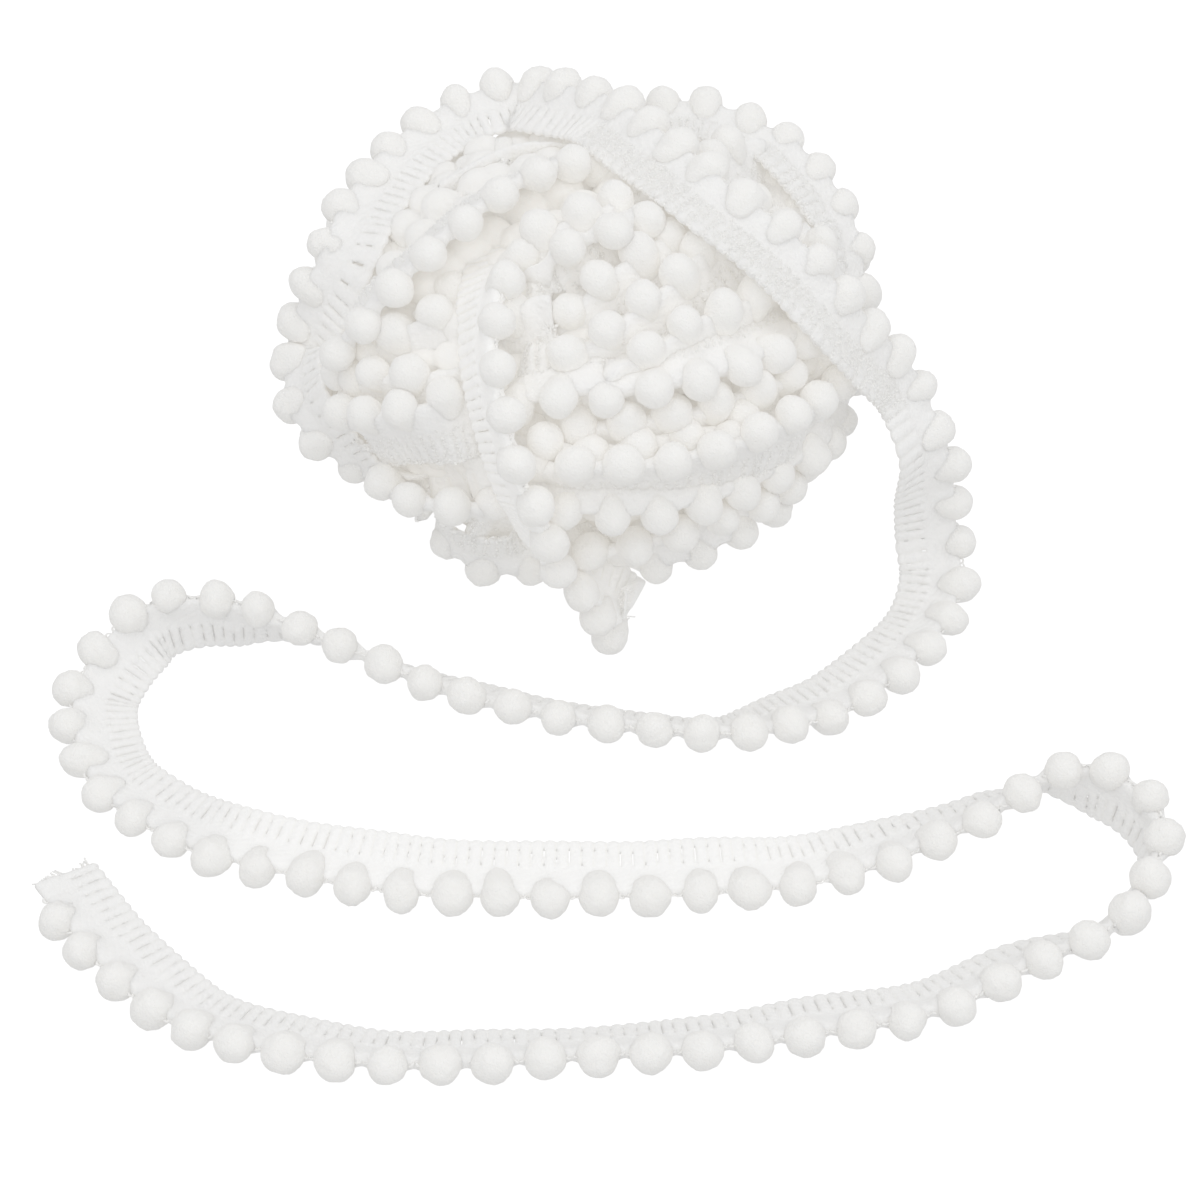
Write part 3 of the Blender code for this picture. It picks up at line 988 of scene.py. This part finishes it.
class Winding:
    """Lets the lengths settle against each other, so that none cuts through another."""

    REACH = 9.3 * MM  # from a pompom's centre in to the tape's inner lane
    STEP = 3.7 * MM  # half the pitch, so that every second station has a pompom
    NEAR = 7.5 * MM  # stations further apart than this cannot touch
    PULL = 0.03 * MM  # how far a loose turn is drawn in, in one round
    POMPOM, EDGE = 2.85 * MM, 1.4 * MM  # radius kept clear at a pompom and between two
    TAPE, TOP_TAPE = 1.5 * MM, 2.5 * MM  # the same for tape, and for a loose end's tape

    def __init__(self, ball):
        self.ball = ball
        self.outer, self.inner, self.hold, self.owner, self.order = [], [], [], [], []

    def add(self, length, hold):
        count = max(4, int(length.total / self.STEP))
        marks = np.arange(count + 1) * self.STEP
        place, _, outward, _ = length.at(marks)
        self.outer.append(place)
        self.inner.append(place - outward * self.REACH)
        self.hold.append(np.full(len(marks), hold))
        self.owner.append(np.full(len(marks), len(self.owner)))
        self.order.append(np.arange(len(marks)))

    def settle(self, rounds):
        """Moves the lengths apart, round by round, and gives back each one's two edges."""
        sizes = [len(o) for o in self.outer]
        ends = np.cumsum(sizes)
        outer = np.concatenate(self.outer)
        inner = np.concatenate(self.inner)
        hold = np.concatenate(self.hold)[:, None]
        owner = np.concatenate(self.owner)
        order = np.concatenate(self.order)
        home_outer, home_inner = outer.copy(), inner.copy()
        linked = owner[:-1] == owner[1:]
        a = np.nonzero(linked)[0]
        b = a + 1
        has_pompom = order % 2 == 0
        outer_radius = np.where(has_pompom, self.POMPOM, self.EDGE)
        tape_radius = np.where(hold[:, 0] >= HELD, self.TOP_TAPE, self.TAPE)
        radius = np.concatenate([outer_radius, tape_radius, tape_radius])
        on_top = np.tile(hold[:, 0] >= HELD, 3)
        on_top[:len(outer)] = False
        who = np.tile(owner, 3)
        when = np.tile(order, 3)
        free = 1.0 - np.tile(hold[:, 0], 3)
        back = np.where(hold >= HELD, 1.0, 0.3 * hold)
        for round_number in range(rounds):
            pull = self.PULL if round_number < rounds * 0.7 else 0.0
            for body in (outer, inner):
                body -= pull * (1.0 - hold) * unit(body - ball_middle(self.ball))
            self.keep_shape(outer, inner, a, b)
            middle = 0.5 * (outer + inner)
            points = np.concatenate([outer, middle, inner])
            if round_number % 6 == 0:
                pairs = self.neighbours(points, who, when)
            push = self.part(points, radius, free, on_top, pairs)
            count = len(outer)
            outer += push[:count] + 0.5 * push[count:2 * count]
            inner += push[2 * count:] + 0.5 * push[count:2 * count]
            self.keep_between(outer, inner, hold)
            outer += back * (home_outer - outer)
            inner += back * (home_inner - inner)
        cuts = ends[:-1]
        return list(zip(np.split(outer, cuts), np.split(inner, cuts)))

    def keep_shape(self, outer, inner, a, b):
        """Keeps the trim's pitch and width, and evens out its bends."""
        for body, rest, give in ((outer, self.STEP, 0.8), (inner, self.STEP, 0.25)):
            gap = body[b] - body[a]
            far = np.linalg.norm(gap, axis=1, keepdims=True)
            fix = 0.5 * give * (far - rest) / np.maximum(far, 1e-9) * gap
            np.add.at(body, a, fix)
            np.add.at(body, b, -fix)
            inside = a[:-1][a[1:] == b[:-1]] + 1
            smooth = 0.5 * (body[inside - 1] + body[inside + 1]) - body[inside]
            body[inside] += 0.18 * smooth
        across = outer - inner
        far = np.linalg.norm(across, axis=1, keepdims=True)
        fix = 0.5 * (far - self.REACH) / np.maximum(far, 1e-9) * across
        outer -= fix
        inner += fix

    def neighbours(self, points, who, when):
        """Pairs of stations near enough to touch, leaving out a length's own near ones."""
        small = points.astype(np.float32)
        near = []
        squares = np.sum(small ** 2, axis=1)
        for start in range(0, len(small), 512):
            block = small[start:start + 512]
            far = squares[start:start + 512, None] + squares[None] - 2.0 * block @ small.T
            i, j = np.nonzero(far < self.NEAR * self.NEAR)
            near.append(np.stack([i + start, j], 1))
        pairs = np.concatenate(near)
        i, j = pairs.T
        keep = (i < j) & ((who[i] != who[j]) | (np.abs(when[i] - when[j]) > 4))
        return pairs[keep]

    def part(self, points, radius, free, on_top, pairs):
        """How far each point moves out of its neighbours, or down from under a top one."""
        i, j = pairs.T
        up = unit(points - ball_middle(self.ball))
        gap = points[j] - points[i]
        far = np.linalg.norm(gap, axis=1)
        overlap = np.maximum(0.0, radius[i] + radius[j] - far)
        way = gap / np.maximum(far, 1e-9)[:, None]
        way = unit(way - 1.5 * up[j] * on_top[i, None] + 1.5 * up[i] * on_top[j, None])
        total = np.maximum(free[i] + free[j], 1e-6)
        push = np.zeros_like(points)
        np.add.at(push, i, -way * (0.45 * overlap * free[i] / total)[:, None])
        np.add.at(push, j, way * (0.45 * overlap * free[j] / total)[:, None])
        return push

    def keep_between(self, outer, inner, hold):
        """Holds the trim outside the core, inside the ball's outline, above the floor."""
        axes = ball_axes(self.ball)
        middle = ball_middle(self.ball)
        limits = ((outer, -16.0, 2.2, 2.9), (inner, -17.0, 1.5, 0.8))
        for body, low, high, floor in limits:
            rel = body - middle
            small = np.linalg.norm(rel / (axes + low * MM), axis=1, keepdims=True)
            reach = axes + np.where(hold > 0.0, high + 2.4, high) * MM
            big = np.linalg.norm(rel / reach, axis=1, keepdims=True)
            rel = np.where(small < 1.0, rel / np.maximum(small, 1e-6), rel)
            rel = np.where(big > 1.0, rel / big, rel)
            body[:] = rel + middle
            body[:, 2] = np.maximum(body[:, 2], floor * MM)


def loose_length(upper_rows, lower_rows, trim, ball):
    """A length that begins on the ball and ends on the surface beside it."""
    ball_line, ball_out = ball_rows(upper_rows, 1, ball)
    floor_line, floor_out = floor_rows(lower_rows, trim)
    length = Length(np.vstack([ball_line, floor_line]), np.vstack([ball_out, floor_out]))
    length.rest_on_floor(trim)
    return length


def long_length(trim, ball):
    """The outermost turn over the ball's rim, its drop and the whole long loose end."""
    return loose_length(RIM_LENGTH, LONG_END, trim, ball)


def short_length(trim, ball):
    """The turn that drops off the front of the ball, and its short loose end."""
    return loose_length(FRONT_DROP, SHORT_END, trim, ball)


def long_end_marks(length, ball):
    """Where the looped face shows on the ball, and where the tape lies flat and open."""
    over = on_ball(directions(62.0, 66.0), 4.5 * MM, ball)
    off = np.array([54.0, -18.0, 33.0]) * MM
    flat_from = np.array([-60.0, -84.0, 3.0]) * MM
    flat_to = np.array([30.0, -92.0, 3.0]) * MM
    return (
        (length.mark_near(over), length.mark_near(off)),
        (length.mark_near(flat_from), length.mark_near(flat_to)),
    )


def flat_share(s, flat):
    """1 where the long end's tape lies flat on the surface, fading out past its ends."""
    shown = ramp(s, flat[0], flat[0] + 12.0 * MM)
    return shown * (1.0 - ramp(s, flat[1], flat[1] + 20.0 * MM))


def terry_share(s, crossing):
    """1 where the long end shows its looped face, fading out past its ends."""
    shown = ramp(s, crossing[0] - 6.0 * MM, crossing[0] + 4.0 * MM)
    return shown * (1.0 - ramp(s, crossing[1] - 10.0 * MM, crossing[1] + 4.0 * MM))


def part_on_ball(length, ball):
    """The stretch of a loose end that lies on the ball, for the winding to settle round."""
    axes = ball_axes(ball) + 9.0 * MM
    near = np.linalg.norm((length.line - ball_middle(ball)) / axes, axis=1) < 1.0
    last = np.nonzero(near)[0].max()
    part = Length.__new__(Length)
    part.set_fine(length.line[:last], length.outward[:last])
    return part


HELD, PLACED, LOOSE = 1.0, 0.35, 0.0  # how firmly lengths keep to where they start
ROUNDS = 120  # rounds of settling


def settled_lengths(trim, ball):
    """The lengths on and in the ball, after they have settled against each other."""
    draws = np.random.default_rng(ball.seed)
    winding = Winding(ball)
    for length in (long_length(trim, ball), short_length(trim, ball)):
        winding.add(part_on_ball(length, ball), HELD)
    for _, side, rows in SURFACE_LENGTHS:
        winding.add(Length(*ball_rows(rows, side, ball)), PLACED)
    for k in range(ball.hidden_turns):
        layer = 0.02 + 0.15 * (k % 4) / 3.0
        winding.add(Length(*hidden_circle(ball, draws, layer)), LOOSE)
    settled = winding.settle(ROUNDS)
    return [Length(outer, outer - inner) for outer, inner in settled[2:]]


def lane_points(length, trim):
    """Points spread over the face of a length's tape."""
    marks = np.arange(0.0, length.total, 1.6 * MM)
    place, _, outward, _ = length.at(marks)
    shifts = [w * MM - trim.tape - trim.outset for w in (0.0, 1.7, 3.4, 5.1, 6.8)]
    return np.concatenate([place + outward * shift for shift in shifts])


CORE_POMPOMS = 560
CORE_DEPTH = 6.8 * MM  # from the ball's own form in to where the core's pompoms start
CORE_GIRTH = 37.0 * MM  # radius that turns an angle between two pompoms into a distance
CORE_CAP = 3.5 * MM  # radius of a pompom that is pressed into the core
CORE_SEAM = -1.0 * MM  # where no pompom reaches


def packed_form(template, ball, draws):
    """The core's points: pompoms pressed side by side, on a slightly lumpy middle."""
    k = np.arange(CORE_POMPOMS) + 0.5
    up = 1.0 - 2.0 * k / CORE_POMPOMS
    turn = math.pi * (1.0 + math.sqrt(5.0)) * k
    round_it = np.sqrt(1.0 - up * up)
    tips = np.stack([round_it * np.cos(turn), round_it * np.sin(turn), up], -1)
    tips = unit(tips + draws.normal(0.0, 0.022, tips.shape))
    heights = draws.uniform(-0.9, 0.9, CORE_POMPOMS) * MM
    verts = []
    for block in np.array_split(template, 40):
        off = np.arccos(np.clip(block @ tips.T, -1.0, 1.0)) * CORE_GIRTH
        cap = CORE_CAP ** 2 - off ** 2
        raised = np.sqrt(np.maximum(cap, 0.0)) + heights
        bulge = np.where(cap > 0.0, raised, CORE_SEAM).max(axis=1)
        verts.append(block * (ball_axes(ball) - CORE_DEPTH + bulge[:, None]))
    return np.concatenate(verts) + ball_middle(ball)


# Hollows ----------------------------------------------------------------------------


# The openness sets how deep each point lies, and so how much painted glow it gets.
CLOSED, OPEN = 0.10, 0.46  # openness of the deepest hollow, and of a spot outside any
ABOVE = 1.2 * MM  # how far above the trim its openness is read


class Openness:
    """How open to its surroundings each spot is, on a grid round the whole trim."""

    CELL = 1.5 * MM
    REACH = 12  # cells that each way out is followed through

    def __init__(self, points):
        self.low = points.min(axis=0) - 3.0 * self.CELL
        shape = np.ceil((points.max(axis=0) - self.low) / self.CELL).astype(int) + 3
        filled = np.zeros(shape, np.float32)
        filled[tuple(((points - self.low) / self.CELL).astype(int).T)] = 0.5
        beyond = np.pad(filled, self.REACH)
        ways = [way for way in np.ndindex(3, 3, 3) if way != (1, 1, 1)]
        self.clear = np.zeros(shape, np.float32)
        for way in unit(np.array(ways) - 1.0):
            path = np.ones(shape, np.float32)
            for step in range(2, self.REACH):
                i, j, k = np.rint(way * step).astype(int) + self.REACH
                path *= 1.0 - beyond[i:i + shape[0], j:j + shape[1], k:k + shape[2]]
            self.clear += path / len(ways)

    def read(self, points):
        """The share of the ways out that are open, blended between the grid's cells."""
        place = (points - self.low) / self.CELL - 0.5
        cell = np.floor(place).astype(int)
        share = place - cell
        total = np.zeros(len(points))
        for corner in np.ndindex(2, 2, 2):
            weight = np.prod(np.where(corner, share, 1.0 - share), axis=1)
            total += weight * self.clear[tuple((cell + corner).T)]
        return total


def read_vectors(mesh, name):
    values = np.empty(len(mesh.vertices) * 3, np.float32)
    mesh.vertices.foreach_get(name, values)
    return values.reshape(-1, 3)


# Operators --------------------------------------------------------------------------


def fitted(piece, *nodes):
    """Puts a piece on the trim's one body, in place of the solids it stands for."""
    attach(piece, "root")
    if nodes:
        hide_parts(*nodes)
    return piece


def make_loose_end(name, length, trim, draws, tape_parts, terry=None):
    """Makes a loose end's tape, pompoms and loops, and the looped face if it has one."""
    cotton = bpy.data.materials["knitted_cotton"]
    pile = bpy.data.materials["cut_pile"]
    verts, faces, lie = tape_parts
    tape = fitted(mesh_piece(name + "_tape_yarn", verts, faces, cotton, lie), name + "_tape")
    verts, faces = pompoms_on(length, trim, ball_template(4), draws)
    comb = fitted(mesh_piece(name + "_pile", verts, faces, pile), name + "_pompoms")
    loops = [edge_curls(length, trim, draws), frayed_end(length, trim, draws)]
    if terry:
        loops.append(terry_loops(length, trim, draws, *terry, 0.5 * MM, ball_template(1)))
    verts, faces = join(loops)
    curls = fitted(mesh_piece(name + "_loops", verts, faces, cotton))


class TRIM_OT_finishes(bpy.types.Operator):
    """Make the finishes of the pile, the tape, the ball's depth and the floor"""

    bl_idname = "trim.finishes"
    bl_label = "Make finishes"

    def execute(self, context):
        colours = context.scene.yarn_colours
        pile_finish(colours)
        cotton_finish(colours, context.scene.trim_sizes.rib)
        depth_finish(colours)
        floor_finish(colours)
        return {"FINISHED"}


class TRIM_OT_long_end(bpy.types.Operator):
    """Make the long loose end, from the ball's rim to its cut end"""

    bl_idname = "trim.long_end"
    bl_label = "Make long end"

    def execute(self, context):
        trim = context.scene.trim_sizes
        ball = context.scene.ball_sizes
        length = long_length(trim, ball)
        crossing, flat = long_end_marks(length, ball)

        def ribs_shown(s):
            return (0.8 + 0.2 * flat_share(s, flat)) * (1.0 - 0.85 * terry_share(s, crossing))

        verts, faces, lie = tape_grid(length, trim, FINE_RIB, FINE_STATIONS, ribs_shown)
        along = lie[:, 0]
        # the third value also sets the painted glow: near-white on the flat stretch, where it
        # is 0
        lie[:, 2] = 0.3 * (1.0 - flat_share(along, flat)) + 0.7 * terry_share(along, crossing)
        parts = (verts, faces, lie)
        make_loose_end("long_end", length, trim, np.random.default_rng(5), parts, crossing)
        return {"FINISHED"}


class TRIM_OT_short_end(bpy.types.Operator):
    """Make the short loose end that drops off the front of the ball"""

    bl_idname = "trim.short_end"
    bl_label = "Make short end"

    def execute(self, context):
        trim = context.scene.trim_sizes
        ball = context.scene.ball_sizes
        length = short_length(trim, ball)
        parts = tape_grid(length, trim, FINE_RIB, FINE_STATIONS)
        make_loose_end("short_end", length, trim, np.random.default_rng(6), parts)
        return {"FINISHED"}


class TRIM_OT_winding(bpy.types.Operator):
    """Make the ball's turns of trim, settled against each other"""

    bl_idname = "trim.winding"
    bl_label = "Make winding"

    def execute(self, context):
        trim = context.scene.trim_sizes
        ball = context.scene.ball_sizes
        draws = np.random.default_rng(ball.seed + 1)
        lengths = settled_lengths(trim, ball)
        cotton = bpy.data.materials["knitted_cotton"]
        pile = bpy.data.materials["cut_pile"]
        shown = len(SURFACE_LENGTHS)
        ends = [part_on_ball(make(trim, ball), ball) for make in (long_length, short_length)]
        sheets = [lane_points(length, trim) for length in lengths[:shown] + ends]
        template = ball_template(3)
        groups = (
            ("outer", 0, shown, PLAIN_RIB),
            ("under", shown, len(lengths), HIDDEN_RIB),
        )
        for name, first, last, per_rib in groups:
            tapes, lies, combs = [], [], []
            for k in range(first, last):
                length = lengths[k]
                verts, faces, lie = tape_grid(length, trim, per_rib, PLAIN_STATIONS)
                lie[:, 2] = 0.7
                tapes.append((verts, faces))
                lies.append(lie)
                crowd = np.concatenate(sheets[:k] + sheets[k + 1:])
                combs.append(pompoms_on(length, trim, template, draws, crowd))
            verts, faces = join(tapes)
            tape = mesh_piece(name + "_turns_tape", verts, faces, cotton, np.concatenate(lies))
            fitted(tape)
            verts, faces = join(combs)
            comb = mesh_piece(name + "_turns_pile", verts, faces, pile)
            fitted(comb)
        look = (0.72 * MM, eight_sided(), ball_middle(ball))
        verts, faces = join([
            terry_loops(length, trim, draws, 0.0, length.total, *look)
            for length in lengths[:shown]
        ])
        loops = mesh_piece("outer_turns_loops", verts, faces, cotton)
        fitted(loops)
        return {"FINISHED"}


class TRIM_OT_core(bpy.types.Operator):
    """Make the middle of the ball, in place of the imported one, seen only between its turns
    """

    bl_idname = "trim.core"
    bl_label = "Make core"

    def execute(self, context):
        ball = context.scene.ball_sizes
        template, faces = ball_template(7)
        verts = packed_form(template, ball, np.random.default_rng(9))
        verts[:, 2] = np.maximum(verts[:, 2], 0.3 * MM)
        core = mesh_piece("ball_middle", verts, faces, bpy.data.materials["ball_depth"])
        fitted(core, "wound_ball")
        return {"FINISHED"}


class TRIM_OT_hollows(bpy.types.Operator):
    """Mark how deep in its hollows each point of the trim lies"""

    bl_idname = "trim.hollows"
    bl_label = "Mark hollows"

    def execute(self, context):
        meshes = [piece for piece in bpy.data.objects if piece.type == "MESH"]
        pieces = [piece for piece in meshes if "depth" in piece.data.attributes]
        if not pieces:
            raise RuntimeError("the trim has not been made yet")
        places = [read_vectors(piece.data, "co") for piece in pieces]
        openness = Openness(np.concatenate(places))
        for piece, place in zip(pieces, places):
            above = place + read_vectors(piece.data, "normal") * ABOVE
            # deeper points get more of the painted warm glow
            depth = 1.0 - ramp(openness.read(above), CLOSED, OPEN)
            layer = piece.data.attributes["depth"]
            layer.data.foreach_set("value", depth.astype(np.float32))
        return {"FINISHED"}


class TRIM_OT_stage(bpy.types.Operator):
    """Make the pale floor, the soft light and the camera"""

    bl_idname = "trim.stage"
    bl_label = "Make stage"

    def execute(self, context):
        sizes = context.scene.stage_sizes
        add_floor()
        add_lights(context.scene)
        add_camera(context.scene, sizes)
        return {"FINISHED"}


FLOOR_HALF = 3.0
FLOOR_DROP = 0.2 * MM  # the floor lies a little low, as some pompoms are larger than others
# name, place, size in metres and power in watts; each lamp faces the origin
LAMPS = (
    ("key", (-0.16, 0.10, 0.86), 0.60, 1.22),
    ("side", (0.50, -0.12, 0.55), 0.50, 0.75),
    ("front", (-0.10, -0.50, 0.56), 0.45, 0.9),
)


def add_floor():
    corners = ((-1.0, -1.0, 0.0), (1.0, -1.0, 0.0), (1.0, 1.0, 0.0), (-1.0, 1.0, 0.0))
    verts = FLOOR_HALF * np.array(corners)
    pale = bpy.data.materials["pale_floor"]
    floor = mesh_piece("floor", verts, np.array([[0, 1, 2, 3]]), pale)
    floor.location.z = -FLOOR_DROP
    floor.visible_diffuse = False


def add_lights(scene):
    """Bright even surroundings, and large soft lights above, in front and at the right."""
    world = bpy.data.worlds.new("soft_surroundings")
    world.use_nodes = True
    back = world.node_tree.nodes["Background"]
    back.inputs["Color"].default_value = (1.0, 1.0, 1.0, 1.0)
    back.inputs["Strength"].default_value = 0.56
    scene.world = world
    scene.view_settings.view_transform = "Standard"
    scene.view_settings.gamma = 1.6
    for name, place, size, power in LAMPS:
        lamp = bpy.data.lights.new(name, "AREA")
        lamp.size = size
        lamp.energy = power
        light = bpy.data.objects.new(name, lamp)
        light.location = place
        light.rotation_euler = (-Vector(place)).to_track_quat("-Z", "Y").to_euler()
        scene.collection.objects.link(light)


def add_camera(scene, sizes):
    lens = bpy.data.cameras.new("view")
    lens.lens = sizes.lens
    lens.sensor_width = 36.0
    lens.clip_start = 0.01
    camera = bpy.data.objects.new("view", lens)
    forward = Vector((0.0, math.cos(sizes.elevation), -math.sin(sizes.elevation)))
    camera.location = Vector(sizes.target) - forward * sizes.distance
    camera.rotation_euler = forward.to_track_quat("-Z", "Y").to_euler()
    scene.collection.objects.link(camera)
    scene.camera = camera


class TRIM_PT_panel(bpy.types.Panel):
    """Lists the steps that make the trim"""

    bl_idname = "TRIM_PT_panel"
    bl_label = "Pompom fringe trim"
    bl_space_type = "VIEW_3D"
    bl_region_type = "UI"
    bl_category = "Trim"

    def draw(self, context):
        for group in ("trim_sizes", "ball_sizes", "yarn_colours", "stage_sizes"):
            box = self.layout.box()
            settings = getattr(context.scene, group)
            for name in settings.bl_rna.properties.keys():
                if name not in ("rna_type", "name"):
                    box.prop(settings, name)
        for step in STEPS:
            self.layout.operator("trim." + step)


STEPS = ("finishes", "core", "winding", "long_end", "short_end", "hollows", "stage")
GROUPS = {
    "trim_sizes": TrimSizes,
    "ball_sizes": BallSizes,
    "yarn_colours": YarnColours,
    "stage_sizes": StageSizes,
}
CLASSES = tuple(GROUPS.values()) + (
    TRIM_OT_finishes, TRIM_OT_core, TRIM_OT_winding, TRIM_OT_long_end,
    TRIM_OT_short_end, TRIM_OT_hollows, TRIM_OT_stage, TRIM_PT_panel,
)


def register():
    for made in CLASSES:
        bpy.utils.register_class(made)
    for name, group in GROUPS.items():
        setattr(bpy.types.Scene, name, bpy.props.PointerProperty(type=group))


def unregister():
    for name in GROUPS:
        delattr(bpy.types.Scene, name)
    for made in reversed(CLASSES):
        bpy.utils.unregister_class(made)


def main():
    register()
    for step in STEPS:
        getattr(bpy.ops.trim, step)()


if __name__ == "__main__":
    main()
